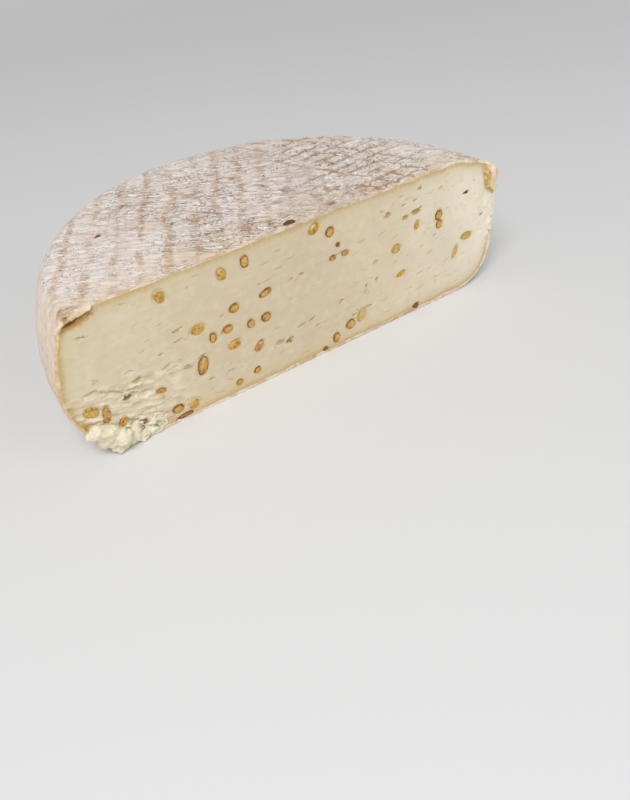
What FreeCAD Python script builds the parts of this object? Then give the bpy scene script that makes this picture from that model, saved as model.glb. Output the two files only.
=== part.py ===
"""Half wheel of fenugreek tomme, cut straight through its middle and lying on its base.

One solid. Millimetres, +Z up, +X along the cut from its left end to its right, and the cut face
looks towards -Y. The origin is the middle of the footprint box, on the surface it rests on.
"""

import FreeCAD, Part
import Sketcher
import math
import os

DOCUMENT = "fenugreek_tomme"
NODE = "half_wheel"

# The driving dimensions. A wheel's edge is worn rounder at one end of the cut than at the other,
# so each end has its own shoulder (from the top face to the widest point) and foot (from there
# to the base). A curve power of 2 is an ellipse, 1 a flat chamfer, and more is squarer.
SIZES = {
    "wheel_radius": 102.5,
    "wheel_height": 62.8,
    "left_shoulder_inset": 10.8,
    "left_shoulder_drop": 33.4,
    "left_shoulder_power": 1.6,
    "left_foot_inset": 19.7,
    "left_foot_power": 1.6,
    "right_shoulder_inset": 25.9,
    "right_shoulder_drop": 12.0,
    "right_shoulder_power": 1.6,
    "right_foot_inset": 34.0,
    "right_foot_power": 4.0,
    # the mashed curd lumps along the crumbled left foot
    "lump_radius": 4.6,
    "lump_pitch": 5.4,
    "lump_clearance": 0.3,
    # the torn flap of rind that hangs over the left end of the cut's top edge
    "flap_length": 15.0,
    "flap_overhang": 2.6,
    "flap_thickness": 3.4,
    "flap_inset": 12.5,
    "flap_slope": 10.0,
    # the nick torn out of the right end, under the curled rind
    "nick_depth": 2.2,
    "nick_height": 5.0,
    "nick_level": 46.0,
}
# Each curd lump: its place along the foot in pitches, how far its middle stands in front of the
# cut in radii, and its radius as a share of lump_radius.
LUMPS = ((-0.8, 0.5, 1.0), (0.2, 0.25, 0.7), (0.9, 0.65, 0.85), (1.8, 0.2, 0.95), (2.8, 0.5, 0.65))

# Heights of the loft's outlines as shares of the wheel's height, closer where the edge turns.
LEVEL_SHARES = (0.0, 0.012, 0.04, 0.09, 0.17, 0.28, 0.42, 0.56, 0.69, 0.8, 0.88, 0.94, 0.975, 0.993, 1.0)


def size(name):
    """The way an expression names a cell of the sheet."""
    return "Sizes." + name


def make_sheet(doc):
    sheet = doc.addObject("Spreadsheet::Sheet", "Sizes")
    for row, (name, value) in enumerate(SIZES.items(), start=1):
        sheet.set("A%d" % row, name)
        sheet.set("B%d" % row, str(value))
        sheet.setAlias("B%d" % row, name)
    doc.recompute()
    return sheet


def origin_plane(body, role):
    return next(f for f in body.Origin.OriginFeatures if f.Role == role)


def rounding(inset, power, share):
    """How far a rounded edge stands in from the widest point, at a share of its height."""
    bounded = "min(1; max(0; %s))" % share
    return "%s * (1 - (1 - (%s)^%s)^(1 / %s))" % (size(inset), bounded, size(power), size(power))


def reach(side, level):
    """How far the outline reaches from the wheel's axis to one end of the cut, at a level."""
    height = "%s * %s" % (size("wheel_height"), level)
    drop = size(side + "_shoulder_drop")
    widest = "(%s - %s)" % (size("wheel_height"), drop)
    shoulder = rounding(side + "_shoulder_inset", side + "_shoulder_power",
                        "(%s - %s) / %s" % (height, widest, drop))
    foot = rounding(side + "_foot_inset", side + "_foot_power",
                    "(%s - %s) / %s" % (widest, height, widest))
    return "%s - %s - %s" % (size("wheel_radius"), shoulder, foot)


def level_sketch(doc, body, number, share):
    """A half-round outline: the cut as its chord, and an arc from one end of it to the other."""
    sketch = body.newObject("Sketcher::SketchObject", "Level%02d" % number)
    sketch.AttachmentSupport = [(origin_plane(body, "XY_Plane"), "")]
    sketch.MapMode = "FlatFace"
    sketch.setExpression("AttachmentOffset.Base.z", "%s * %s" % (size("wheel_height"), share))
    radius = SIZES["wheel_radius"]
    centre, up = FreeCAD.Vector(0, 0, 0), FreeCAD.Vector(0, 0, 1)
    arc = sketch.addGeometry(Part.ArcOfCircle(Part.Circle(centre, up, radius), 0, math.pi))
    chord = sketch.addGeometry(Part.LineSegment(FreeCAD.Vector(-radius, 0, 0), FreeCAD.Vector(radius, 0, 0)))
    start, end, middle, x_axis, root = 1, 2, 3, -1, -1
    sketch.addConstraint([
        Sketcher.Constraint("Coincident", arc, end, chord, start),
        Sketcher.Constraint("Coincident", arc, start, chord, end),
        Sketcher.Constraint("PointOnObject", chord, start, x_axis),
        Sketcher.Constraint("PointOnObject", chord, end, x_axis),
        Sketcher.Constraint("PointOnObject", arc, middle, x_axis),
    ])
    for name, side, point in (("LeftReach", "left", start), ("RightReach", "right", end)):
        places = (chord, start, root, 1) if side == "left" else (root, 1, chord, end)
        index = sketch.addConstraint(Sketcher.Constraint("DistanceX", *places, radius))
        sketch.renameConstraint(index, name)
        sketch.setExpression("Constraints." + name, reach(side, share))
    return sketch


def make_wheel(doc, body):
    """The half wheel itself, lofted through its outlines from the base to the top face."""
    sketches = [level_sketch(doc, body, i, share) for i, share in enumerate(LEVEL_SHARES)]
    doc.recompute()
    loft = body.newObject("PartDesign::AdditiveLoft", "Wheel")
    loft.Profile = sketches[0]
    loft.Sections = sketches[1:]
    loft.Ruled = False
    loft.Closed = False
    doc.recompute()
    return loft


def ellipsoid(doc, body, kind, name, radii, place, turn="0"):
    """An ellipsoid with its radii along X, Y and Z, its middle at place and a turn about Y."""
    lump = body.newObject("PartDesign::%sEllipsoid" % kind, name)
    lump.Angle1, lump.Angle2, lump.Angle3 = -90, 90, 360
    for prop, value in zip(("Radius2", "Radius3", "Radius1"), radii):
        lump.setExpression(prop, value)
    for axis, value in zip("xyz", place):
        lump.setExpression("Placement.Base." + axis, value)
    lump.Placement.Rotation = FreeCAD.Rotation(FreeCAD.Vector(0, 1, 0), 1)
    lump.setExpression("Placement.Rotation.Angle", turn)
    doc.recompute()
    return lump


def make_lumps(doc, body):
    """Curd lumps mashed out along the crumbled left foot."""
    foot_end = "(%s - %s)" % (size("wheel_radius"), size("left_foot_inset"))
    for number, (pitches, forward_share, radius_share) in enumerate(LUMPS, start=1):
        radius = "(%s * %s)" % (size("lump_radius"), radius_share)
        along = "-%s + %s * %s" % (foot_end, size("lump_pitch"), pitches)
        forward = "-%s * %s" % (radius, forward_share)
        up = "%s + %s" % (radius, size("lump_clearance"))
        radii = ("%s * 0.95" % radius, "%s * 1.1" % radius, radius)
        ellipsoid(doc, body, "Additive", "Lump%d" % number, radii, (along, forward, up))


def make_flap(doc, body):
    """The torn flap of rind, a long thin lip in front of the left end of the top edge."""
    along = "-(%s - %s)" % (size("wheel_radius"), size("flap_inset"))
    up = "%s - %s * 0.75" % (size("wheel_height"), size("flap_thickness"))
    radii = ("%s / 2" % size("flap_length"), "%s * 0.8" % size("flap_overhang"),
             "%s / 2" % size("flap_thickness"))
    forward = "-%s * 0.2" % size("flap_overhang")
    ellipsoid(doc, body, "Additive", "RindFlap", radii, (along, forward, up), "-" + size("flap_slope"))


def make_nick(doc, body):
    """The nick torn out of the right end of the cut."""
    radii = (size("nick_depth"), "%s * 2" % size("nick_depth"), "%s / 2" % size("nick_height"))
    place = (size("wheel_radius"), "-%s * 0.5" % size("nick_depth"), size("nick_level"))
    ellipsoid(doc, body, "Subtractive", "Nick", radii, place)


def seat(doc, body):
    """Moves the body so that the middle of its footprint box is the origin, at height zero."""
    box = body.Shape.optimalBoundingBox(True, False)
    body.Placement.Base = FreeCAD.Vector(-box.Center.x, -box.Center.y, -box.ZMin)
    doc.recompute()


def check(doc, body):
    for item in doc.Objects:
        if {"Invalid", "Error"} & set(item.State):
            raise RuntimeError("%s failed to build: %s" % (item.Name, item.State))
    if body.Shape.isNull() or not body.Shape.isValid() or len(body.Shape.Solids) != 1:
        raise RuntimeError("the half wheel is not one valid solid")


def main():
    doc = FreeCAD.newDocument(DOCUMENT)
    make_sheet(doc)
    body = doc.addObject("PartDesign::Body", "HalfWheel")
    body.Label = NODE
    make_wheel(doc, body)
    make_lumps(doc, body)
    make_flap(doc, body)
    make_nick(doc, body)
    doc.recompute()
    seat(doc, body)
    check(doc, body)
    box = body.Shape.optimalBoundingBox(True, False)
    print("%s: %.1f x %.1f x %.1f mm, %.1f cm3" % (
        body.Label, box.XLength, box.YLength, box.ZLength, body.Shape.Volume / 1000))
    os.makedirs("parts", exist_ok=True)
    body.Shape.exportStep(os.path.join("parts", body.Label + ".step"))


main()
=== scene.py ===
import math
import random

import bpy
import numpy as np
from mathutils import Matrix, Vector, kdtree


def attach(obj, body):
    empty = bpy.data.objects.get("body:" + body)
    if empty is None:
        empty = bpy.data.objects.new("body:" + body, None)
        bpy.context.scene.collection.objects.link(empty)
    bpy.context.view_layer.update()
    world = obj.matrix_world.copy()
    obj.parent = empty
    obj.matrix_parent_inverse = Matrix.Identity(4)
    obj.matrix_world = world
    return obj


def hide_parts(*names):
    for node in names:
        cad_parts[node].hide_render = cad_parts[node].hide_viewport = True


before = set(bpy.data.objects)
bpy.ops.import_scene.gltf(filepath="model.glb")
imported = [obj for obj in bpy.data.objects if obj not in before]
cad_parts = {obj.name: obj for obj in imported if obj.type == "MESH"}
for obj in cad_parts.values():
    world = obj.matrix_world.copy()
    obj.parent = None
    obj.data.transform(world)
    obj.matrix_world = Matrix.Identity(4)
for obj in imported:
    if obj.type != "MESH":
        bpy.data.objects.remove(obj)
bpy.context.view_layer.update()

MM = 0.001
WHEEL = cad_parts["half_wheel"]
AXIS_X = -0.2  # the wheel's own centre line, in mm from the frame's middle
HEIGHT = 62.8
RADIUS = 102.5
END_X = 102.6  # no strip of rind reaches further than this to either side
BACKDROP = 0.66  # brightness of the world and the far floor, as the camera sees them
DAYLIGHT = 0.42  # brightness of the world as it lights the cheese


# ---------------------------------------------------------------- small tools


def alone(piece):
    bpy.ops.object.select_all(action="DESELECT")
    piece.select_set(True)
    bpy.context.view_layer.objects.active = piece


def open_up(piece, kind="VERT"):
    alone(piece)
    bpy.ops.object.mode_set(mode="EDIT")
    bpy.ops.mesh.select_mode(type=kind)
    bpy.ops.mesh.select_all(action="SELECT")


def close_up():
    bpy.ops.object.mode_set(mode="OBJECT")


def weld(piece):
    """Join the points that a Boolean leaves on top of each other, and turn every face outward."""
    open_up(piece)
    bpy.ops.mesh.remove_doubles(threshold=0.004 * MM)
    bpy.ops.mesh.normals_make_consistent(inside=False)
    close_up()


def modify(piece, kind, **values):
    made = piece.modifiers.new(kind.lower(), kind)
    for key, value in values.items():
        setattr(made, key, value)
    alone(piece)
    bpy.ops.object.modifier_apply(modifier=made.name)


def link(name, mesh):
    piece = bpy.data.objects.new(name, mesh)
    bpy.context.scene.collection.objects.link(piece)
    return piece


def join(name, pieces):
    bpy.ops.object.select_all(action="DESELECT")
    for piece in pieces:
        piece.select_set(True)
    bpy.context.view_layer.objects.active = pieces[0]
    bpy.ops.object.join()
    pieces[0].name = name
    pieces[0].data.name = name
    return pieces[0]


def block(kind, location=(0, 0, 0), scale=(1, 1, 1), **values):
    """One of Blender's plain meshes, with its place, turn and scale in its points."""
    bpy.ops.object.select_all(action="DESELECT")
    getattr(bpy.ops.mesh, "primitive_%s_add" % kind)(location=location, **values)
    piece = bpy.context.object
    piece.scale = scale
    bpy.ops.object.transform_apply(location=True, rotation=True, scale=True)
    return piece


def remove(piece):
    bpy.data.objects.remove(piece, do_unlink=True)


def numbers(items, key, width=1, kind=np.float32):
    """One property of all the points, edges or faces of a mesh, a row for each."""
    flat = np.empty(len(items) * width, kind)
    items.foreach_get(key, flat)
    return flat.reshape(-1, width) if width > 1 else flat


def places(piece):
    """The piece's points in mm."""
    return numbers(piece.data.vertices, "co", 3).astype(float) / MM


def put(piece, points):
    flat = (points * MM).astype(np.float32).ravel()
    piece.data.vertices.foreach_set("co", flat)
    piece.data.update()


def facing(piece):
    return numbers(piece.data.vertex_normals, "vector", 3).astype(float)


def note(piece, **marks):
    for name, values in marks.items():
        made = piece.data.attributes.new(name, "FLOAT", "POINT")
        made.data.foreach_set("value", np.asarray(values, np.float32))


def note_place(piece, name, values):
    made = piece.data.attributes.new(name, "FLOAT_VECTOR", "POINT")
    made.data.foreach_set("vector", np.asarray(values, np.float32).ravel())


def grain(points, size, seed):
    """Smooth noise of about -1 to 1; its lumps are about size mm long (one number or three)."""
    dice = np.random.RandomState(seed)
    order = dice.permutation(256)
    lean = dice.normal(size=(256, 3))
    lean /= np.linalg.norm(lean, axis=1)[:, None]
    cell = points / np.array(size, float) + 500.0
    low = np.floor(cell).astype(int)
    part = cell - low
    ease = part**3 * (part * (part * 6 - 15) + 10)
    total = np.zeros(len(points))
    for corner in range(8):
        step = np.array([corner & 1, corner >> 1 & 1, corner >> 2 & 1])
        at = (low + step) & 255
        pick = order[(order[(order[at[:, 0]] + at[:, 1]) & 255] + at[:, 2]) & 255]
        share = np.prod(np.where(step, ease, 1 - ease), axis=1)
        total += share * np.sum(lean[pick] * (part - step), axis=1)
    return total * 1.7


def rough(points, size, seed, layers=3):
    total = np.zeros(len(points))
    for layer in range(layers):
        total += grain(points, np.array(size, float) / 2**layer, seed + layer) / 2**layer
    return total


def ramp_up(values, low, high):
    share = np.clip((values - low) / (high - low), 0, 1)
    return share * share * (3 - 2 * share)


def held(points):
    """Points kept under the wheel's height and over the ground, easing off near the top."""
    ease = 0.5
    over = np.maximum(points[:, 2] - (HEIGHT - ease), 0)
    points[:, 2] += ease * np.tanh(over / ease) - over
    points[:, 2] = np.maximum(points[:, 2], 0.0)
    return points


def swung(along, across, degrees):
    """Two coordinates, measured along a direction and across it."""
    c = math.cos(math.radians(degrees))
    s = math.sin(math.radians(degrees))
    return along * c + across * s, across * c - along * s


def turned(points, degrees):
    """Points with their first axis laid along a direction in plan."""
    x, y, z = points.T
    return np.stack((*swung(x, y, degrees), z), axis=1)


def ring(along, across, length, width, degrees):
    """How far a place lies from an oval's middle: 1 is on its rim."""
    u, v = swung(along, across, degrees)
    return np.hypot(u / (length / 2), v / (width / 2))


# ---------------------------------------------------------------- materials


def tint(red, green, blue):
    def straight(value):
        value /= 255
        return value / 12.92 if value <= 0.04045 else ((value + 0.055) / 1.055) ** 2.4

    return (straight(red), straight(green), straight(blue), 1.0)


class Look:
    """A procedural material, wired one step at a time; skin is its colour so far."""

    def __init__(self, name, roughness, specular=0.35, subsurface=0.0, radius=(1.6, 1.1, 0.6)):
        self.material = bpy.data.materials.new(name)
        self.material.use_nodes = True
        self.tree = self.material.node_tree
        self.shader = self.tree.nodes["Principled BSDF"]
        settings = {
            "Roughness": roughness,
            "Specular IOR Level": specular,
            "Subsurface Weight": subsurface,
            "Subsurface Radius": radius,
            "Subsurface Scale": 0.001,
        }
        for key, value in settings.items():
            self.shader.inputs[key].default_value = value
        self.place = self.node("ShaderNodeTexCoord", {}, "Object")
        self.skin = None

    def feed(self, socket, value):
        if isinstance(value, bpy.types.NodeSocket):
            self.tree.links.new(value, socket)
        else:
            socket.default_value = tint(*value) if socket.type == "RGBA" else value

    def node(self, kind, inputs, result=0, **values):
        """A new node with its inputs fed; gives back one of its outputs."""
        made = self.tree.nodes.new(kind)
        for key, value in values.items():
            setattr(made, key, value)
        for key, value in inputs.items():
            self.feed(made.inputs[key], value)
        return made.outputs[result]

    def read(self, name, kind="Fac"):
        return self.node("ShaderNodeAttribute", {}, kind, attribute_name=name)

    def lay(self, place, degrees=0.0, stretch=(1, 1, 1), upright=False):
        """The place turned in plan, or in the upright plane of the cut, then stretched."""
        turn = (0, math.radians(degrees), 0) if upright else (0, 0, math.radians(-degrees))
        spun = self.node("ShaderNodeMapping", {"Vector": place, "Rotation": turn})
        return self.node("ShaderNodeMapping", {"Vector": spun, "Scale": stretch})

    def noise(self, place, scale=1.0, detail=2.0, bite=0.5, twist=0.0):
        inputs = {"Vector": place, "Scale": scale, "Detail": detail, "Roughness": bite, "Distortion": twist}
        return self.node("ShaderNodeTexNoise", inputs, "Fac")

    def step(self, value, low, high, bottom=0.0, top=1.0):
        inputs = {"Value": value, "From Min": low, "From Max": high, "To Min": bottom, "To Max": top}
        return self.node("ShaderNodeMapRange", inputs, interpolation_type="SMOOTHSTEP")

    def sum(self, kind, first, second=0.0, clamp=False):
        return self.node("ShaderNodeMath", {0: first, 1: second}, operation=kind, use_clamp=clamp)

    def times(self, first, second, clamp=False):
        return self.sum("MULTIPLY", first, second, clamp)

    def rest(self, share):
        return self.sum("SUBTRACT", 1.0, share)

    def blend(self, share, first, second):
        return self.node("ShaderNodeMix", {0: share, 2: first, 3: second}, data_type="FLOAT")

    def mix(self, share, first, second):
        return self.node("ShaderNodeMix", {"Factor": share, 6: first, 7: second}, 2, data_type="RGBA")

    def paint(self, share, colour):
        """Lay a colour over the skin."""
        self.skin = self.mix(share, self.skin, colour)

    def ramp(self, value, *stops):
        made = self.tree.nodes.new("ShaderNodeValToRGB")
        band = made.color_ramp
        while len(band.elements) < len(stops):
            band.elements.new(0.5)
        for element, (at, *colour) in zip(band.elements, stops):
            element.position = at
            element.color = tint(*colour)
        self.feed(made.inputs[0], value)
        return made.outputs[0]

    def speckle(self, scale, first, second):
        """Two colours in fine patches."""
        return self.mix(self.step(self.noise(self.place, scale, 2, 0.6), 0.4, 0.6), first, second)

    def split(self, place):
        return self.node("ShaderNodeSeparateXYZ", {0: place}).node.outputs

    def finish(self, height, strength, distance):
        """Wear the skin, with a bump of this height, and give back the material."""
        self.feed(self.shader.inputs["Base Color"], self.skin)
        inputs = {"Height": height, "Strength": strength, "Distance": distance}
        self.feed(self.shader.inputs["Normal"], self.node("ShaderNodeBump", inputs))
        return self.material


def crease(look, place, degrees, stretch, twist=1.0):
    """Winding wrinkles: the dark line of each, partly brown and partly painted shade, and the painted
    highlight beside it.
    """
    wave = look.noise(look.lay(place, degrees, stretch), 1, 3, 0.55, twist)
    dark = look.step(look.sum("ABSOLUTE", look.sum("SUBTRACT", wave, 0.5)), 0.034, 0.010)
    crease_highlight = look.step(look.sum("ABSOLUTE", look.sum("SUBTRACT", wave, 0.56)), 0.040, 0.014)
    return dark, crease_highlight


def rind_look():
    look = Look("rind_bloom", 0.88, 0.15, 0.08)
    p = look.place
    wall = look.read("wall", "Vector")
    steep = look.read("steep")
    relief = look.read("relief")
    hatch = look.read("hatch")
    band = look.read("band")
    lip = look.read("lip")
    calm = look.rest(lip)
    patch = look.noise(p, 85, 3, 0.55)
    mottle = look.noise(p, 520, 3, 0.65)
    field = look.noise(p, 60, 2, 0.5)
    gate = look.step(look.noise(p, 150, 2, 0.5), 0.44, 0.56)
    # wrinkles along the cloth on the left, two crossing ways of them on the right, upright on the wall
    ways = (
        crease(look, p, -34, (110, 480, 300)),
        crease(look, p, 8, (190, 470, 300)),
        crease(look, p, -62, (190, 470, 300)),
        crease(look, wall, 68, (90, 460, 1)),
    )
    turn = look.step(look.noise(p, 130, 2, 0.5), 0.46, 0.54)
    dark, crease_highlight = (
        look.times(
            look.blend(steep, look.blend(hatch, left, look.blend(turn, one, other)), look.times(up, 0.5)),
            calm,
        )
        for left, one, other, up in zip(*ways)
    )
    # short brown flecks where the bloom is worn
    fleck_a = look.noise(look.lay(p, -36, (300, 1000, 300)), 1, 2, 0.6, 0.6)
    fleck_b = look.noise(look.lay(p, 50, (330, 1000, 300)), 1, 2, 0.6, 0.6)
    worn = look.step(patch, 0.42, 0.60, 0.15, 1.0)
    fleck = look.sum("MAXIMUM", look.step(fleck_a, 0.61, 0.64), look.step(fleck_b, 0.63, 0.66))
    fleck = look.times(look.times(fleck, worn), calm)
    fleck = look.times(fleck, look.rest(look.times(steep, 0.7)))
    look.skin = look.ramp(
        look.sum("ADD", look.times(patch, 0.7), look.times(mottle, 0.3)),
        (0.36, 227, 209, 195), (0.46, 236, 221, 211), (0.58, 242, 232, 227),
    )
    x, y, _ = look.split(p)
    look.paint(look.step(x, -0.05, -0.08, 0, 0.7), (246, 233, 225))
    look.paint(look.step(x, 0.04, 0.07, 0, 0.8), (249, 238, 229))
    plain = look.sum("MINIMUM", look.step(x, -0.02, -0.065, 1.0, 0.45), look.step(x, 0.05, 0.075, 1.0, 0.6))
    plain = look.sum("MINIMUM", plain, look.step(y, 0.014, 0.036, 1.0, 0.6))
    # lighter towards the back: painted light, making up for the shade at the far shoulder
    look.paint(look.step(y, 0.02, 0.044, 0, 0.5), (248, 237, 228))
    fleck = look.times(fleck, plain)
    dark = look.times(dark, plain)
    look.paint(look.step(y, -0.026, -0.046, 0, 0.6), (234, 210, 180))
    look.paint(look.times(steep, 0.45), (240, 218, 192))
    torn_left = look.step(fleck_a, 0.40, 0.54, 0.3, 0.95)
    torn_right = look.step(mottle, 0.38, 0.5, 0.5, 1.0)
    wash = look.times(band, look.blend(hatch, torn_left, torn_right))
    tan = look.mix(hatch, (196, 166, 132), (170, 134, 104))
    look.paint(look.times(wash, calm), tan)
    wear = look.times(look.step(field, 0.52, 0.64, 0, 0.55), look.step(fleck_b, 0.44, 0.58))
    wear = look.times(wear, plain)
    look.paint(look.times(wear, calm), (206, 179, 152))
    # painted shade in the low parts of the cloth relief, painted highlight on its raised parts
    look.paint(look.step(relief, -0.5, -1.3, 0, 0.4), (196, 166, 138))
    look.paint(look.step(relief, 0.3, 1.1, 0, 0.6), (248, 241, 236))
    # the dark line of each wrinkle: the crease's brown with painted shade
    crease_brown_and_shade = look.times(dark, look.sum("ADD", look.times(gate, 0.55), 0.35))
    crease_brown_and_shade = look.times(crease_brown_and_shade, look.rest(look.times(hatch, 0.45)))
    look.paint(crease_brown_and_shade, (166, 130, 104))
    look.paint(look.times(fleck, 0.85), (146, 110, 80))
    deep = look.times(look.step(fleck_a, 0.66, 0.70), look.step(field, 0.50, 0.58))
    look.paint(look.times(look.times(deep, calm), 0.7), (122, 88, 64))
    # painted highlight beside each wrinkle
    look.paint(look.times(crease_highlight, 0.85), (253, 248, 242))
    blot = look.times(look.read("brown"), look.step(mottle, 0.36, 0.52, 0.55, 1.0))
    look.paint(look.times(blot, 1.1, True), (160, 122, 94))
    speck = look.step(look.noise(p, 800, 1, 0.5), 0.66, 0.70)
    speck = look.times(look.times(speck, calm), look.step(field, 0.52, 0.60))
    look.paint(look.times(speck, 0.8), (92, 80, 74))
    cream = look.speckle(260, (216, 186, 150), (240, 224, 204))
    ragged = look.times(lip, look.step(look.noise(p, 420, 2, 0.6), 0.36, 0.52, 0.45, 1.0))
    look.paint(ragged, cream)
    look.paint(look.times(look.read("torn"), 0.75), (238, 225, 202))
    amber = look.speckle(420, (196, 158, 96), (232, 208, 152))
    look.paint(look.read("amber"), amber)
    height = look.sum("ADD", look.times(mottle, 0.9), look.times(crease_highlight, 0.5))
    height = look.sum("SUBTRACT", height, look.times(look.sum("MAXIMUM", dark, fleck), 0.5))
    return look.finish(look.times(height, look.sum("ADD", look.times(calm, 0.8), 0.2)), 0.8, 0.0005)


def paste_look():
    look = Look("cut_paste", 0.46, 0.4, 0.22, (1.6, 1.1, 0.6))
    p = look.place
    x = look.split(p)[0]
    # lighter towards the right end: partly the paste's own colour, partly painted light
    along = look.step(x, -0.1, 0.1)
    along.node.interpolation_type = "LINEAR"
    look.skin = look.ramp(
        along,
        (0.0, 218, 204, 176), (0.25, 216, 201, 172), (0.5, 210, 194, 166),
        (0.7, 221, 206, 179), (1.0, 242, 234, 215),
    )
    cloud = look.noise(p, 38, 3, 0.5)
    look.paint(look.step(cloud, 0.38, 0.66, 0, 0.35), (207, 188, 161))
    spot = look.noise(p, 300, 3, 0.6)
    look.paint(look.step(spot, 0.50, 0.70, 0, 0.22), (232, 222, 202))
    look.paint(look.step(spot, 0.48, 0.32, 0, 0.20), (200, 178, 146))
    drag = look.noise(look.lay(p, 5, (60, 300, 900), upright=True), 1, 3, 0.6, 0.25)
    look.paint(look.step(drag, 0.54, 0.72, 0, 0.12), (198, 180, 144))
    look.paint(look.step(drag, 0.46, 0.28, 0, 0.14), (234, 224, 203))
    edge = look.read("edge")
    wander = look.times(look.sum("SUBTRACT", look.noise(p, 200, 2), 0.5), 2.0)
    near = look.step(look.sum("ADD", edge, wander), 0.3, 2.9, 1, 0)
    strong = look.step(x, -0.092, -0.097, 0.82, 1.0)
    look.paint(look.times(near, strong), (190, 154, 100))
    halo = look.step(look.sum("ADD", edge, wander), 1.5, 7.0, 0.42, 0)
    look.paint(halo, (208, 190, 146))
    look.paint(look.times(look.read("stain"), 0.32), (208, 176, 108))
    # white of the curd, and painted highlight on the high spots of the flaky corner
    look.paint(look.times(look.read("curd_white_and_highlight"), 0.8), (240, 232, 213))
    # amber stains; under the left fold partly painted shade
    look.paint(look.read("amber"), (198, 148, 62))
    # golden colour of the tears and the crack, darkest where deepest: partly their own colour, partly
    # painted shade
    tear_tint_and_shade = look.read("tear_tint_and_shade")
    look.paint(look.times(tear_tint_and_shade, 0.85), (164, 130, 30))
    look.paint(look.step(tear_tint_and_shade, 0.78, 1.0, 0, 0.8), (112, 80, 10))
    # brown stains, and painted shadow under the left fold
    look.paint(look.read("brown"), (112, 70, 22))
    fine = look.noise(p, 1000, 3, 0.6)
    height = look.sum("ADD", look.times(fine, 0.8), look.times(drag, 0.8))
    return look.finish(look.sum("ADD", height, look.times(spot, 0.8)), 0.4, 0.0002)


def seed_look():
    look = Look("fenugreek", 0.34, 0.5, 0.12, (1.2, 0.7, 0.3))
    p = look.place
    tone = look.read("tone")
    coat = look.read("coat")
    flesh = look.ramp(
        tone,
        (0.0, 212, 192, 140), (0.25, 200, 160, 68), (0.5, 198, 148, 68),
        (0.6, 196, 144, 98), (0.75, 156, 108, 66), (1.0, 74, 40, 24),
    )
    skin = look.ramp(
        tone,
        (0.0, 192, 164, 108), (0.25, 136, 88, 18), (0.5, 124, 72, 16),
        (0.75, 112, 64, 28), (1.0, 48, 24, 14),
    )
    wear = look.noise(p, 620, 3, 0.6)
    pale = look.mix(look.step(wear, 0.50, 0.64, 0, 0.45), flesh, (230, 202, 130))
    pale = look.mix(look.step(wear, 0.48, 0.36, 0, 0.65), pale, skin)
    pale = look.mix(look.step(tone, 0.7, 0.9), pale, flesh)
    heart = look.times(look.read("heart"), look.step(tone, 0.7, 0.5, 0, 0.45))
    pale = look.mix(heart, pale, (224, 188, 118))
    shell = look.mix(look.step(look.noise(p, 900, 2), 0.52, 0.66, 0, 0.4), skin, flesh)
    # the seed coat's colour, and on whole seeds painted shade at the rim and groove
    look.skin = look.mix(coat, pale, shell)
    return look.finish(look.noise(p, 1100, 3, 0.6), 0.5, 0.0003)


def curd_look():
    look = Look("fresh_curd", 0.6, 0.3, 0.35)
    p = look.place
    cloud = look.noise(p, 260, 3, 0.6)
    look.skin = look.ramp(cloud, (0.3, 210, 199, 167), (0.5, 228, 219, 193), (0.7, 238, 232, 213))
    return look.finish(look.noise(p, 1100, 3), 0.3, 0.0002)


def floor_look():
    """Pale grey that fades into the backdrop far away, for the camera only."""
    look = Look("pale_floor", 0.9, 0.1)
    look.feed(look.shader.inputs["Base Color"], (226, 226, 226))
    x, y, _ = look.split(look.place)
    away = look.sum("SQRT", look.sum("ADD", look.times(x, x), look.times(y, y)))
    seen = look.node("ShaderNodeLightPath", {}, "Is Camera Ray")
    far = look.times(look.step(away, 0.35, 1.3), seen)
    pale = look.node("ShaderNodeEmission", {"Strength": BACKDROP})
    both = look.node("ShaderNodeMixShader", {0: far, 1: look.shader.outputs[0], 2: pale})
    look.feed(look.tree.nodes["Material Output"].inputs["Surface"], both)
    return look.material


# ---------------------------------------------------------------- the wheel behind every piece


def cut_plane():
    """How far forward the cut lies, in mm: the middle of the faces that look straight ahead."""
    faces = WHEEL.data.polygons
    front = numbers(faces, "normal", 3)[:, 1] < -0.999
    middle = numbers(faces, "center", 3)[:, 1]
    return float(np.average(middle[front], weights=numbers(faces, "area")[front])) / MM


CUT = cut_plane()


def whole_wheel(name, voxel, inset):
    """The wheel before it was cut: the round back mirrored across the cut, as one even skin."""
    piece = link(name, WHEEL.data.copy())
    open_up(piece)
    bpy.ops.mesh.remove_doubles(threshold=1e-6)
    bpy.ops.mesh.bisect(
        plane_co=(0, (CUT + 0.2) * MM, 0), plane_no=(0, 1, 0), clear_inner=True, threshold=1e-6
    )
    close_up()
    middle = link("middle", None)
    middle.location = (0, (CUT + 0.2) * MM, 0)
    bpy.context.view_layer.update()
    sides = {"use_axis": (False, True, False), "mirror_object": middle}
    modify(piece, "MIRROR", use_mirror_merge=True, merge_threshold=5e-5, **sides)
    remove(middle)
    modify(piece, "REMESH", mode="VOXEL", voxel_size=voxel * MM, use_smooth_shade=True)
    if inset:
        modify(piece, "DISPLACE", strength=-inset * MM, mid_level=0)
    return piece


def wall_place(points):
    """Where a point lies if the round wall were rolled out flat: arc length and height."""
    x = points[:, 0] - AXIS_X
    y = points[:, 1] - CUT
    reach = np.maximum(np.hypot(x, y), 1.0)
    return np.stack((np.arctan2(x, y) * 100.0, points[:, 2] + (100 - reach) * 0.5, reach * 0), axis=1)


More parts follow.
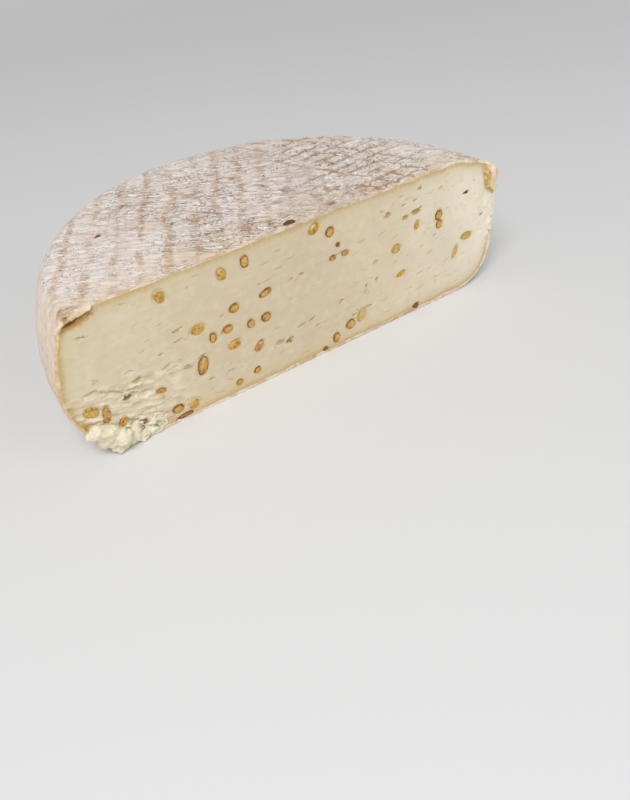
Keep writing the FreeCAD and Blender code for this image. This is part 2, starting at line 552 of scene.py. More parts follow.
# tan patches and spots on the top: x, y from the cut, length, width, direction, depth of colour
PATCHES = (
    (-28, 32, 9, 6, 20, 0.35), (-15, 12, 9, 6, 10, 0.45), (19, 5, 5, 3.5, 0, 0.7),
    (33, 12, 5, 4, 0, 0.4), (25, 16, 4, 3, 40, 0.5), (35, 5, 6, 3.5, 10, 0.4),
    (62, 10, 6, 3, -20, 0.3), (-35, 33, 1.6, 1.4, 0, 1), (-61, 44, 4, 2, 30, 0.9),
    (-42, 62, 3, 1.2, 0, 0.8), (-27, 66, 3, 1, 0, 0.9), (-8, 47, 4, 2, 0, 0.8),
    (3, 52, 3, 2, 50, 0.7), (-62, 20, 3, 0.8, -30, 0.5), (-44, 18, 6, 1.4, -30, 0.55),
    (-40, 24, 5, 2.4, -34, 0.5), (-48, 40, 8, 2.4, -30, 0.35), (-93, 3, 4, 3, 30, 0.8),
    (-86, 7, 3, 1.2, -30, 0.5), (-28, 3, 4, 2, 30, 0.5), (5, 20, 5, 4, 20, 0.45),
    (12, 27, 4, 3, 60, 0.5), (-91, 1, 8, 5, 20, 0.55), (-92.6, -1, 3, 3, 0, 0.9),
    (45, 30, 3, 2, 0, 0.5),
)


def cloth_relief(points, lean):
    """The cloth's imprint in mm, with what shows of it: cross hatch share, tan bands, brown spots."""
    x = points[:, 0] - AXIS_X
    y = points[:, 1] - CUT
    flat = np.stack((x, y, points[:, 2] * 0.3), axis=1)
    steep = ramp_up(1 - np.abs(lean[:, 2]), 0.12, 0.55)
    hatch = ramp_up(x + 12 * grain(flat, 30, 5), 4, 40)
    fibre = grain(turned(flat, -34), (5.5, 1.7, 9), 11) + 0.6 * grain(turned(flat, -30), (9, 2.6, 9), 12)
    weft = turned(flat, 62)
    sway = 2.2 * grain(flat, 16, 13)
    band = ramp_up(np.cos(2 * math.pi * (weft[:, 1] + sway) / 9.6), 0.30, 0.95)
    band *= ramp_up(grain(flat, (10, 10, 12), 14), -0.75, 0.05)
    dash = ramp_up(grain(weft, (3.2, 1.4, 9), 15), -0.1, 0.5)
    short = grain(turned(flat, 6), (4, 1.5, 9), 16) + grain(turned(flat, -64), (4, 1.5, 9), 17)
    sway = 1.1 * grain(flat, 9, 24)
    lines_a = ramp_up(np.cos(2 * math.pi * (turned(flat, 4)[:, 1] + sway) / 6.4), 0.45, 0.95)
    lines_b = ramp_up(np.cos(2 * math.pi * (turned(flat, -66)[:, 1] - sway) / 7.6), 0.45, 0.95)
    lines_a *= ramp_up(grain(flat, (7, 7, 12), 25), -0.35, 0.10)
    lines_b *= ramp_up(grain(flat, (7, 7, 12), 26), -0.35, 0.10)
    lattice = np.minimum(lines_a + lines_b, 1) * (1 - 0.5 * ramp_up(x, 50, 80))
    band = (1 - hatch) * band * 0.8 + hatch * lattice
    top = (1 - hatch) * (fibre - 0.9 * band * (0.4 + 0.6 * dash)) + hatch * (short - 0.9 * lattice)
    wall = wall_place(points)
    side = 0.5 * grain(turned(wall, 74), (7, 2.2, 9), 18) + 0.5 * grain(turned(wall, 40), (5, 2.6, 9), 19)
    relief = (1 - steep) * top + steep * side
    relief *= 0.5 + 0.5 * ramp_up(y, 0, 9)
    brown = np.zeros(len(points))
    ragged = grain(flat, 1.6, 23)
    for at_x, at_y, length, width, way, depth in PATCHES:
        away = ring(x - at_x, y - at_y, length, width, way)
        spot = ramp_up(-away - 0.5 * ragged, -1.25, -0.55) * depth
        brown = np.maximum(brown, spot * (points[:, 2] > 40))
    lumps = 0.30 * grain(points, 17, 21) + 0.16 * rough(points, 6, 22, 2)
    return relief, hatch, steep, band * (1 - steep), brown, lumps


# dark seeds that show through the top: x, y from the cut, length, width, direction
RIND_SEEDS = ((-1.5, 3.2, 5.6, 3.2, 6), (-61, 44, 2.6, 1.6, 20))


def seed_beds(points):
    """Shallow beds in the top rind, each round one of its seeds."""
    bed = np.zeros(len(points))
    for x, y, length, width, way in RIND_SEEDS:
        r = ring(points[:, 0] - AXIS_X - x, points[:, 1] - CUT - y, length, width, way)
        bed = np.maximum(bed, ramp_up(-r, -1.7, -1.0) * (points[:, 2] > 50))
    return bed


def torn_share(points):
    """The ragged white patch at the right end, where the rind came away."""
    x, y, z = points.T
    along = ramp_up(x, 88, 97) * ramp_up(y, CUT + 16, CUT + 7)
    edge = 3.0 * grain(points, 5, 31)
    return along * ramp_up(z + edge, 18, 24) * ramp_up(z + edge, 50, 45)


def note_rind(piece, points, lean, lip, amber):
    """Everything that the rind's material reads, written on the piece."""
    relief, hatch, steep, band, brown, _ = cloth_relief(points, lean)
    note(piece, relief=relief, hatch=hatch, steep=steep, band=band, brown=brown)
    note(piece, torn=torn_share(points), lip=lip, amber=amber)
    note_place(piece, "wall", wall_place(points) * MM)


def build_rind():
    outer = whole_wheel("rind", 0.765, 0)
    points = places(outer)
    lean = facing(outer)
    relief, _, _, _, brown, lumps = cloth_relief(points, lean)
    torn = torn_share(points)
    depth = lumps - 0.38 + 0.32 * relief * (1 - torn)
    depth -= torn * (0.4 + 0.6 * rough(points, 3.0, 33, 3))
    depth -= 0.2 * brown + 0.55 * seed_beds(points)
    nick = np.hypot(points[:, 0] - 102, (points[:, 2] - 45.8) * 1.6)
    depth -= 1.6 * ramp_up(-np.hypot(nick, (points[:, 1] - CUT) * 0.5), -3.2, -0.8)
    ragged = ramp_up(-points[:, 1], -CUT - 1.4, -CUT - 0.2)
    depth += ragged * (0.22 + 0.26 * rough(points, 3.6, 35, 3))
    base = points[:, 2] < 0.5
    depth[base & (lean[:, 2] < -0.9)] *= 0.1
    points += lean * depth[:, None]
    put(outer, held(points))
    inner = whole_wheel("inside", 2.3, 1.25)
    points = places(inner)
    points += facing(inner) * (0.42 * rough(points, 6.5, 37, 2))[:, None]
    put(inner, points)
    core = link("core", inner.data.copy())
    modify(outer, "BOOLEAN", operation="DIFFERENCE", object=inner, solver="MANIFOLD")
    remove(inner)
    back = block("cube", (0, (CUT + 100) * MM, 0.03), (0.4, 0.2, 0.2), size=1)
    modify(outer, "BOOLEAN", operation="INTERSECT", object=back, solver="MANIFOLD")
    remove(back)
    thin_base(outer)
    weld(outer)
    points = places(outer)
    lean = facing(outer)
    front = points[:, 1] < CUT + 0.01
    points[:, 1] -= np.clip(front * (0.06 + 0.26 * rough(points, 3.2, 41, 3)), 0, 0.5)
    put(outer, held(points))
    lip = ramp_up(-points[:, 1] - 0.35 * rough(points, 2.2, 43, 2), -CUT - 0.7, -CUT - 0.1) * 0.9
    amber = lip * ramp_up(-points[:, 0], 86, 93) * ramp_up(-points[:, 2], -60, -55)
    note_rind(outer, points, lean, lip, amber * 0.65)
    return outer, core


def thin_base(piece):
    """Fewer faces underneath, where nothing shows."""
    points = places(piece)
    hidden = (points[:, 2] < 0.6) & (points[:, 1] > CUT + 2)
    group = piece.vertex_groups.new(name="hidden")
    group.add([int(i) for i in np.nonzero(hidden)[0]], 1.0, "REPLACE")
    share = 1 - 0.86 * hidden.mean()
    modify(piece, "DECIMATE", ratio=share, vertex_group="hidden", use_collapse_triangulate=False)
    piece.vertex_groups.clear()


# ---------------------------------------------------------------- seeds, slits and tears of the cut

# x, z, length, height, direction, tone (0 pale to 1 dark), way: c cut through, w whole, s sunken
SEEDS = (
    (-59, 55, 4.6, 5.4, 20, 0.25, "w"), (-34, 54, 3.8, 5, 10, 0.30, "w"),
    (-24, 55.5, 3.4, 4.8, 0, 0.28, "c"), (-17, 39.5, 5.8, 2.6, 20, 0.40, "c"),
    (-31, 38.5, 4.2, 3.5, 15, 0.42, "c"), (-25, 29, 3, 3.5, 20, 0.42, "c"),
    (-18, 29, 4.2, 3.7, 10, 0.50, "c"), (-47, 36, 6.4, 3.8, 6, 0.22, "w"),
    (-41.5, 30, 2.8, 4, 0, 0.35, "c"), (-35, 31, 4.2, 3.2, 5, 0.35, "c"),
    (-33, 23, 6, 3.7, 13, 0.30, "w"), (-22.5, 17.5, 5.4, 3.2, 45, 0.62, "w"),
    (-47.5, 20, 8.4, 4.2, 72, 0.42, "c"), (-25, 7, 3.2, 2.4, 40, 0.55, "c"),
    (-33.5, 5, 2.8, 2.6, 0, 0.50, "s"), (-65.8, 17.2, 3.6, 1.8, -8, 0.42, "s"),
    (-54, 5, 5.4, 4.2, 8, 0.30, "w"), (-61, 6, 4.8, 3.2, 5, 0.25, "c"),
    (-58.5, 1.8, 6.5, 1.8, 4, 0.78, "w"), (-93, 21, 4, 5.4, 60, 0.27, "p"),
    (-88, 17, 6.4, 2.9, 82, 0.58, "p"), (-82.5, 11.4, 4.2, 2.6, 62, 0.40, "p"),
    (-80, 5, 3.8, 2.6, 20, 0.80, "w"), (-75.5, 7, 3, 2.4, 30, 0.70, "s"),
    (7.3, 57.5, 6, 3.6, 42, 0.27, "w"), (14.3, 53.5, 4.2, 3.6, 50, 0.38, "c"),
    (17.7, 47, 1.9, 1.6, 0, 0.85, "w"), (15, 42, 3, 2.4, 10, 0.65, "s"),
    (21, 42, 3.2, 2.4, -10, 0.50, "s"), (47, 34, 4.4, 3.6, 10, 0.22, "p"),
    (70, 41.5, 4.6, 3.4, 75, 0.28, "c"), (70.3, 37.2, 3.8, 3.2, 80, 0.32, "c"),
    (58, 41, 3.8, 2.2, 80, 0.30, "p"), (86.5, 25.8, 6, 3.2, -5, 0.12, "p"),
    (80, 20.5, 6, 2.2, 70, 0.16, "p"), (27.7, 10, 5.8, 4, 70, 0.10, "s"),
    (21.7, 8.2, 4.8, 4.2, 20, 0.26, "c"), (14, 5, 4.4, 3.2, 80, 0.34, "c"),
    (8, 1.8, 2.4, 1.8, 10, 0.75, "w"), (57.4, 2.2, 3.5, 2.6, 10, 0.85, "w"),
    (49.3, 21.5, 4.4, 2, 14, 0.25, "s"),
)

# x, z, length, width, direction, depth in mm, colour share (golden colour, partly painted shade)
SLITS = (
    (-89, 51.5, 4.5, 0.9, -12, 0.7, 0.6), (-74, 26, 4, 2, 6, 1.3, 0.85),
    (-79, 20.4, 4.8, 1.6, 4, 1.9, 1), (-55, 39, 3.4, 2, 12, 1, 0.6),
    (-55.5, 35, 3.6, 0.8, 6, 0.5, 0.5), (-63, 32.5, 1.4, 1.1, 0, 0.7, 0.7),
    (-61.6, 26.5, 5, 1.2, 26, 0.6, 0.5), (-54, 22, 5.2, 0.8, -8, 0.6, 0.8),
    (-36.5, 37.5, 2.4, 0.8, 18, 0.6, 0.6), (-19, 44, 2, 0.8, 6, 0.6, 0.7),
    (-45, 12.6, 2.6, 0.9, 0, 0.7, 0.7), (-37, 12.5, 2.6, 0.9, 6, 0.6, 0.5),
    (58, 47.3, 6, 2.7, 8, 1.5, 0.95), (52, 46.5, 3.2, 2.2, 0, 1.2, 0.9),
    (42.7, 50.6, 3.6, 2.2, 12, 1.1, 0.9), (51.4, 52.4, 2.6, 0.8, 6, 0.8, 0.9),
    (57, 52.5, 1.8, 1.3, 0, 0.7, 0.7), (59.5, 56.7, 2, 1.6, 12, 0.8, 0.9),
    (85.3, 46.7, 3.2, 1.4, -8, 2.2, 1), (71, 53.5, 1.6, 1.2, 0, 0.6, 0.6),
    (36, 32, 3, 1.3, 26, 0.9, 0.5), (38.8, 43.6, 2.6, 0.9, 14, 0.6, 0.4),
    (36, 24, 1.6, 1.4, 0, 0.8, 0.8), (30.5, 23, 1.7, 1.5, 0, 0.8, 0.8),
    (17.3, 21, 3, 1.3, 10, 0.8, 0.7), (-0.3, 41, 2.4, 1.2, 14, 0.8, 0.9),
    (-5, 40.5, 1.3, 0.9, 0, 0.6, 0.8), (-4.7, 49.6, 4, 0.8, 0, 0.4, 0.4),
    (-8.6, 13.7, 4, 2.4, 8, 0.9, 1), (-13, 15, 4.8, 2, 8, 0.8, 0.8),
    (-2.6, 18.4, 4.6, 1.1, 8, 0.5, 0.6), (2.5, 19, 3, 0.9, 12, 0.7, 0.8),
    (4.9, 15, 3.4, 1, 16, 0.5, 0.5), (23.7, 12, 2.2, 0.9, 8, 0.9, 1),
    (31, 13, 4.2, 0.8, 0, 0.7, 0.8), (25.5, 13.4, 1.4, 1, 0, 0.6, 0.6),
    (68, 33, 1.4, 1.2, 30, 0.6, 0.6), (62.5, 36, 2, 0.9, 50, 0.5, 0.5),
    (95, 33, 1.6, 1.4, 0, 0.9, 0.9),
)

# amber and dark brown stains of the cut: x, z, length, width, direction, amber, brown; under the left fold
# (the first three) the brown is painted shadow and the amber partly painted shade
STAINS = (
    (-90, 58.6, 14.5, 6.6, 8, 0.9, 0), (-91.4, 58.4, 8.4, 2.8, 6, 0, 1),
    (-86.2, 59.6, 8, 1.8, 8, 0, 0.5), (-96.5, 17, 4, 6, 50, 0.25, 0), (97, 51, 6, 14, 8, 0.5, 0),
    (-59.5, 1.6, 10, 1.6, 4, 0, 0.55), (-78.5, 5.2, 6, 2.6, 10, 0.3, 0.6),
    (-75.5, 7.4, 2.6, 2, 30, 0, 0.35), (-38, 30.4, 3.6, 0.7, 12, 0, 0.55),
    (85.3, 46.7, 3, 1.3, -8, 0, 1), (-79, 20.4, 3.4, 1.2, 4, 0, 0.6),
    (-65.6, 14.2, 3.4, 0.9, 84, 0.3, 0.3), (18, 43.2, 3.4, 0.7, 20, 0, 0.5),
    (8, 1.6, 4.5, 1, 4, 0, 0.5), (-53.5, 23, 5.5, 0.6, -6, 0, 0.6),
    (-47.5, 24.6, 4.4, 0.8, 10, 0, 0.6),
)

# the ragged crack low on the left: x, z
CRACK = ((-94, 28.5), (-88, 27.2), (-83.5, 24.5), (-79, 20.5), (-75, 20), (-70, 18.5))


def scatter_slits():
    """Small knife tears, more of them low down and to the left."""
    dice = random.Random(8)
    found = []
    while len(found) < 125:
        x = dice.uniform(-94, 97)
        z = dice.uniform(1.5, 58)
        low = max(0.0, 1 - z / 46)
        left = max(0.0, (-30 - x) / 60)
        right = max(0.0, (x - 15) / 90)
        if dice.random() > 0.08 + 0.55 * low * (0.35 + left) + 0.26 * right:
            continue
        if any(math.hypot(x - s[0], z - s[1]) < 4 for s in SEEDS):
            continue
        corner = x < -60 and z < 32
        size = dice.uniform(2.0, 7.0) if corner else dice.uniform(1.2, 4.2)
        width = dice.uniform(0.8, 1.8) if corner else dice.uniform(0.4, 0.9)
        deep = dice.uniform(0.4, 1.0) if corner else dice.uniform(0.12, 0.4)
        way = dice.gauss(-9, 9) if corner else dice.gauss(6, 15)
        shade = dice.choice((0.12, 0.3, 0.5)) if corner else dice.uniform(0.2, 0.5)
        found.append((x, z, size, width, way, deep, shade))
    return found


def tear(points, x, z, length, width, way):
    """A knife tear: nothing outside it, deep under its sharp upper lip, rising slowly below."""
    u, v = swung(points[:, 0] - AXIS_X - x, points[:, 2] - z, way)
    u = u / (length / 2)
    v = v / (width / 2) + 0.2 * np.sin(u * 3 + x)
    half = np.sqrt(np.clip(1 - u * u, 0, 1))
    share = np.clip((v + half) / np.maximum(2 * half, 0.05), 0, 1)
    return (np.abs(u) < 1) * share**1.3 * ramp_up(half - v, 0, 0.35)


def oval(points, x, z, length, width, way):
    """How far each point of the cut lies from an oval's middle: 1 is on its rim."""
    return ring(points[:, 0] - AXIS_X - x, points[:, 2] - z, length, width, way)


def curdy_share(points):
    x = points[:, 0] - AXIS_X
    z = points[:, 2]
    sway = 4 * grain(points, 7, 51)
    corner = ramp_up(-x + 0.6 * sway, 65, 71) * ramp_up(-z + sway, -13, -7)
    right = ramp_up(x + 0.3 * sway, 90, 96) * ramp_up(z + sway, 18, 24) * ramp_up(-z + sway, -50, -44)
    return np.maximum(corner, right * 0.45)


def build_paste(core):
    squares = {"x_subdivisions": 432, "y_subdivisions": 134}
    upright = (math.pi / 2, 0, 0)
    paste = block("grid", (0, CUT * MM, 0.0315), (0.212, 0.0655, 1), size=1, rotation=upright, **squares)
    paste.name = "paste"
    open_up(paste)
    bpy.ops.mesh.extrude_region_move(TRANSFORM_OT_translate={"value": (0, 0.116, 0)})
    bpy.ops.mesh.select_all(action="SELECT")
    bpy.ops.mesh.normals_make_consistent(inside=False)
    close_up()
    modify(paste, "BOOLEAN", operation="INTERSECT", object=core, solver="MANIFOLD")
    remove(core)
    slits = list(SLITS) + scatter_slits()
    refine_cut(paste, slits)
    weld(paste)
    points = places(paste)
    front = points[:, 1] < CUT + 0.003
    outline = edge_distance(paste, points, front)
    face = points[front]
    depth = np.zeros(len(face))
    tear_tint_and_shade = np.zeros(len(face))
    stain = np.zeros(len(face))
    ripple = grain(face, 1.1, 61)
    wavy = face + np.stack((ripple, ripple * 0, 0.35 * ripple), axis=1)
    # each tear is coloured by its depth: partly its own golden colour, partly painted shade where deepest
    for x, z, length, width, way, deep, colour in slits:
        dip = tear(wavy, x, z, length * 1.1, width * 1.25, way)
        pool = ramp_up(-oval(wavy, x, z, length, width, way), -1.1, -0.6)
        depth = np.maximum(depth, dip * deep * 0.9)
        tear_tint_and_shade = np.maximum(tear_tint_and_shade, np.maximum(dip, 0.9 * pool) * colour)
    for first, second in zip(CRACK, CRACK[1:]):
        middle = ((first[0] + second[0]) / 2, (first[1] + second[1]) / 2)
        run = math.hypot(second[0] - first[0], second[1] - first[1])
        way = math.degrees(math.atan2(second[1] - first[1], second[0] - first[0]))
        # the crack darkens with its depth: painted shade
        dip = tear(wavy, middle[0], middle[1], run * 1.25, 3.4, way)
        depth = np.maximum(depth, dip * 1.3)
        tear_tint_and_shade = np.maximum(tear_tint_and_shade, dip**2 * 0.55)
    for x, z, length, height, way, _, kind in SEEDS:
        r = oval(face, x, z, length, height, way) + 0.12 * ripple
        depth = np.maximum(depth, ramp_up(-r, -1.40, -1.0) * (0.4 if kind in "cw" else 0.6))
        stain = np.maximum(stain, ramp_up(-oval(face, x, z, length + 1.8, height + 2.0, way), -1.3, -0.7))
    amber = np.zeros(len(face))
    brown = np.zeros(len(face))
    for x, z, length, width, way, gold, dark in STAINS:
        spot = ramp_up(-oval(wavy, x, z, length, width, way) - 0.3 * ripple, -1.15, -0.5)
        amber = np.maximum(amber, spot * gold)
        brown = np.maximum(brown, spot * dark)
    curd_white_and_highlight = curdy_share(face)
    low = ramp_up(-face[:, 0] + 6 * grain(face, 14, 72), 52, 72) * ramp_up(-face[:, 2], -34, -22)
    slant = np.stack((face[:, 0] - 0.2 * face[:, 2], face[:, 2] * 0, face[:, 2] + 0.2 * face[:, 0]), axis=1)
    flakes = rough(slant, (6.0, 1, 2.2), 73, 3)
    depth += low * 0.55 * flakes
    # painted shade in the low spots between the flakes
    tear_tint_and_shade = np.maximum(tear_tint_and_shade, low * ramp_up(flakes, 0.30, 0.75) * 0.42)
    depth += curd_white_and_highlight * (0.6 + 1.1 * rough(face, 3.6, 71, 3))
    # painted highlight on the flakes' high spots, added to the white of the curd
    curd_white_and_highlight = np.maximum(curd_white_and_highlight, low * ramp_up(-flakes, 0.05, 0.5) * 0.8)
    depth += 0.6 * ramp_up(amber, 0.3, 0.8) * (face[:, 0] < 0) * (face[:, 2] > 40)
    flat = np.stack((face[:, 0], face[:, 1] * 0, face[:, 2]), axis=1)
    depth += 0.05 * grain(flat, (18, 1, 1.0), 81) + 0.09 * grain(flat, 14, 82)
    rim = ramp_up(outline[front], 0.0, 0.8)
    depth += low * 0.25
    depth = np.clip(depth * rim, -0.3, 3.2)
    points[front, 1] += depth
    put(paste, points)
    marks = dict(tear_tint_and_shade=tear_tint_and_shade, stain=stain, curd_white_and_highlight=curd_white_and_highlight, amber=amber, brown=brown)
    for name, values in marks.items():
        wide = np.zeros(len(points))
        wide[front] = values
        note(paste, **{name: wide})
    worn = ramp_up(points[:, 0], 90, 95) * ramp_up(points[:, 2], 20, 25) * ramp_up(-points[:, 2], -50, -45)
    note(paste, edge=outline + 5 * worn)
    return paste


def refine_cut(paste, slits):
    """Halve the faces of the cut near anything small enough to need it."""
    mesh = paste.data
    middle = numbers(mesh.polygons, "center", 3).astype(float) / MM
    front = middle[:, 1] < CUT + 0.003
    near = np.zeros(len(middle), bool)
    for x, z, length, width, way, *_ in list(slits) + [s[:5] for s in SEEDS]:
        near |= oval(middle, x, z, length + 1.4, width + 1.4, way) < 1
    near |= curdy_share(middle) > 0.05
    chosen = near & front
    open_up(paste, "FACE")
    bpy.ops.mesh.select_all(action="DESELECT")
    close_up()
    mesh.polygons.foreach_set("select", chosen)
    alone(paste)
    bpy.ops.object.mode_set(mode="EDIT")
    bpy.ops.mesh.subdivide(number_cuts=1)
    close_up()


def edge_distance(piece, points, front):
    """How far, in mm, each point of the cut lies from its rim."""
    first, second = numbers(piece.data.edges, "vertices", 2, np.int32).T
    crossing = front[first] != front[second]
    ends = np.where(front[first], first, second)[crossing]
    rim = np.unique(ends)
    tree = kdtree.KDTree(len(rim))
    for at, i in enumerate(rim):
        tree.insert((points[i, 0], 0, points[i, 2]), at)
    tree.balance()
    reach = np.full(len(points), 30.0)
    for i in np.nonzero(front)[0]:
        reach[i] = tree.find((points[i, 0], 0, points[i, 2]))[2]
    return reach


def seed_blank():
    """One round seed with its poles front and back, so its rings can be cut flat."""
    blank = block("uv_sphere", segments=28, ring_count=20, radius=MM, rotation=(math.pi / 2, 0, 0))
    bpy.ops.object.shade_smooth()
    return blank


def build_seeds():
    blank = seed_blank()
    ball = places(blank)
    made = []
    dice = random.Random(4)
    for number, (x, z, length, height, way, tone, kind) in enumerate(SEEDS):
        seed = link("seed", blank.data.copy())
        flank = np.hypot(ball[:, 0], ball[:, 2])
        around = np.stack((ball[:, 0] * 1.3, ball[:, 1] + number * 7.7, ball[:, 2] * 1.3), axis=1)
        swell = 1 + 0.17 * grain(around, 1.0, 91)
        shape = ball * swell[:, None]
        box = np.sign(shape) * np.abs(shape) ** 0.88
        deep = min(height, length) * 0.42
        points = box * np.array((length / 2, deep, height / 2))
        line = ramp_up(-np.abs(ball[:, 2] + 0.16 + 0.25 * ball[:, 0]), -0.16, -0.02)
        coat = np.zeros(len(ball))
        heart = np.zeros(len(ball))
        if kind == "w":
            points[:, 1] += line * 0.10 * deep * (ball[:, 1] < 0)
            # on whole seeds the darker rim and groove are painted shade
            coat = ramp_up(flank, 0.80, 0.97) * 0.75 + 0.25 * line
            stand = -(0.35 + 0.12 * height / 4)
            points[:, 1] -= points[:, 1].min() - stand
        else:
            level = -0.14 if kind == "c" else 0.12
            cut = -deep * 0.55
            sunk = points[:, 1] < cut
            flat = flank / max(flank[sunk].max(), 0.1)
            points[sunk, 1] = cut
            skin = ramp_up(flat + 0.12 * grain(around, 0.6, 92), 0.80, 0.93) * sunk
            points[:, 1] += np.where(sunk, 0.16 * (1 - skin), 0)
            whole = 0.35 + 0.6 * ramp_up(grain(around, 0.8, 95), -0.3, 0.15)
            coat = np.where(sunk, np.maximum(skin * whole, 0.5 * line * (flat < 0.7)), 1.0)
            heart = sunk * ramp_up(-flat - 0.2 * grain(around, 0.7, 96), -0.66, -0.40) * (kind == "c")
            if kind != "c":
                coat = coat * (0.45 if kind == "s" else 0.12)
            points[:, 1] -= cut - level
        px, pz = swung(points[:, 0], points[:, 2], -way)
        lift = max(0.35 - (z + pz.min()), 0)
        placed = np.stack((px + AXIS_X + x, points[:, 1] + CUT, pz + z + lift), axis=1)
        put(seed, placed)
        shade = min(1.0, tone + dice.uniform(-0.07, 0.07))
        note(seed, coat=np.clip(coat, 0, 1), heart=heart, tone=np.full(len(ball), shade))
        made.append(seed)
    made += rind_seeds(blank, ball)
    remove(blank)
    return join("seeds", made)


def rind_seeds(blank, ball):
    """The dark seeds that show through the top rind, each in its bed."""
    made = []
    for x, y, length, width, way in RIND_SEEDS:
        seed = link("seed", blank.data.copy())
        px, py = swung(ball[:, 0] * length / 2, ball[:, 2] * width / 2, -way)
        up = -ball[:, 1] * 1.1
        groove = ramp_up(-np.abs(ball[:, 2] - 0.1), -0.2, 0) * 0.25
        high = HEIGHT - 1.0 + (up - groove) * 0.9
        put(seed, np.stack((px + x + AXIS_X, py + y + CUT, high), axis=1))
        note(seed, coat=np.full(len(ball), 0.4), heart=np.zeros(len(ball)), tone=np.full(len(ball), 0.9))
        made.append(seed)
    return made


# ---------------------------------------------------------------- curd at the lower left corner

# x, forward of the cut, height of middle, three half widths
CURD = (
    (-94, 1.4, 13, 4, 2.6, 3.4), (-89.6, 2.2, 11.4, 4.2, 3, 3.4), (-85.4, 2.6, 7.4, 4.2, 3.2, 3.8),
    (-90, 1, 8, 4.8, 2.4, 4.2), (-86.4, 1.2, 3.4, 4, 2.4, 3.2), (-81, 1.2, 4.6, 3.4, 2.2, 3.4),
    (-77, 0.6, 2.8, 3.4, 1.6, 2.4), (-71.8, 0.2, 2, 3.4, 1.1, 1.8), (-78.2, 0, 7.6, 3, 1, 2),
    (-73.4, 0, 5.6, 2.6, 0.8, 1.6),
)


def build_curd():
    made = []
    for x, out, z, a, b, c in CURD:
        middle = ((x + AXIS_X) * MM, (CUT - out) * MM, z * MM)
        made.append(block("ico_sphere", middle, (a * MM, b * MM, c * MM), subdivisions=4, radius=1))
    curd = join("curd_lumps", made)
    modify(curd, "REMESH", mode="VOXEL", voxel_size=0.45 * MM, use_smooth_shade=True)
    points = places(curd)
    lean = facing(curd)
    rim = ramp_up(points[:, 0], -80, -77)
    depth = 1.3 * np.abs(grain(points, 3.6, 101)) + 0.4 * rough(points, 2.0, 102, 2)
    depth = (depth - 0.55) * (1 + 0.3 * rim)
    points += lean * depth[:, None]
    points[:, 2] = np.maximum(points[:, 2], 0.02)
    put(curd, points)
    return curd


def build_crumbs():
    """Loose crumbs of curd clinging to the torn corner."""
    dice = random.Random(17)
    made = []
    while len(made) < 110:
        x = dice.uniform(-90, -65)
        z = abs(dice.gauss(0, 4.5)) + 0.5
        size = dice.uniform(0.25, 0.75)
        if x < -81 and z < -(x + 81) * 1.1 + 1:
            continue
        if any(math.hypot(x - s[0], z - s[1]) < s[2] * 0.7 for s in SEEDS):
            continue
        middle = ((x + AXIS_X) * MM, (CUT + dice.uniform(0.0, 0.5)) * MM, max(z, size * 0.7) * MM)
        turn = (dice.uniform(0, 3), dice.uniform(0, 3), 0)
        shape = (1, dice.uniform(0.5, 0.9), dice.uniform(0.5, 0.9))
        crumb = block("ico_sphere", middle, shape, subdivisions=2, radius=size * MM, rotation=turn)
        points = places(crumb)
        points += facing(crumb) * (0.5 * size * grain(points, size * 0.8, 111))[:, None]
        points[:, 2] = np.maximum(points[:, 2], 0.02)
        put(crumb, points)
        made.append(crumb)
    return join("crumbs", made)


# ---------------------------------------------------------------- torn strips of rind


def strip(name, along, across):
    """A flat sheet of small squares, to be given its curve point by point."""
    piece = block("grid", x_subdivisions=along, y_subdivisions=across, size=1000 * MM)
    piece.name = name
    ground = places(piece)
    return piece, ground[:, 0] / 1000 + 0.5, ground[:, 1] / 1000 + 0.5


def outline_height(x):
    """Height of the cut's outline over the left shoulder."""
    inset = np.clip((RADIUS + x) / 10.8, 0, 1)
    return 29.4 + 33.4 * (1 - (1 - inset) ** 1.6) ** 0.625


def bend(share, *stops):
    """A smooth run through the stops: share, then the values there."""
    table = np.array(stops, float)
    return [np.interp(share, table[:, 0], column) for column in table[:, 1:].T]


def build_left_flap():
    """The rind at the top left folds forward over the cut and hangs a few millimetres."""
    piece, u, s = strip("rind_fold", 72, 26)
    x = -97.0 + 14.2 * u
    top = outline_height(x) - 0.1
    noise = np.stack((x, u * 0, s * 4), axis=1)
    low = np.interp(x, (-97.0, -95.5, -93, -88, -83), (55.2, 58.2, 59.6, 60.2, 61.6))
    low = low + 0.6 * rough(np.stack((x, x * 0, x * 0), axis=1), 2.2, 121, 3)
    hang = np.maximum(top - low, 0.8)
    y, down = bend(
        s,
        (0.0, 2.6, 0.35), (0.30, 0.4, -0.25), (0.45, -0.6, 0.0),
        (0.58, -1.05, 0.22), (0.80, -1.30, 0.62), (1.0, -1.15, 1.0),
    )
    z = top - np.where(down > 0, down * hang, down)
    y = y - 0.32 * rough(noise, 2.4, 122, 3) * ramp_up(s, 0.2, 0.5)
    taper = ramp_up(u, 0.0, 0.12) * ramp_up(-u, -1.0, -0.95)
    y = np.where(s > 0.3, y * taper + 0.5 * (1 - taper), y)
    points = np.stack((x + AXIS_X + 0.3 * grain(noise, 2.0, 123), CUT + y, z), axis=1)
    lip = 0.35 + 0.3 * ramp_up(s, 0.9, 1.0)
    amber = ramp_up(s, 0.5, 0.9) * 0.8 * ramp_up(x, -86, -92)
    return finish_strip(piece, points, 0.5, lip, amber)


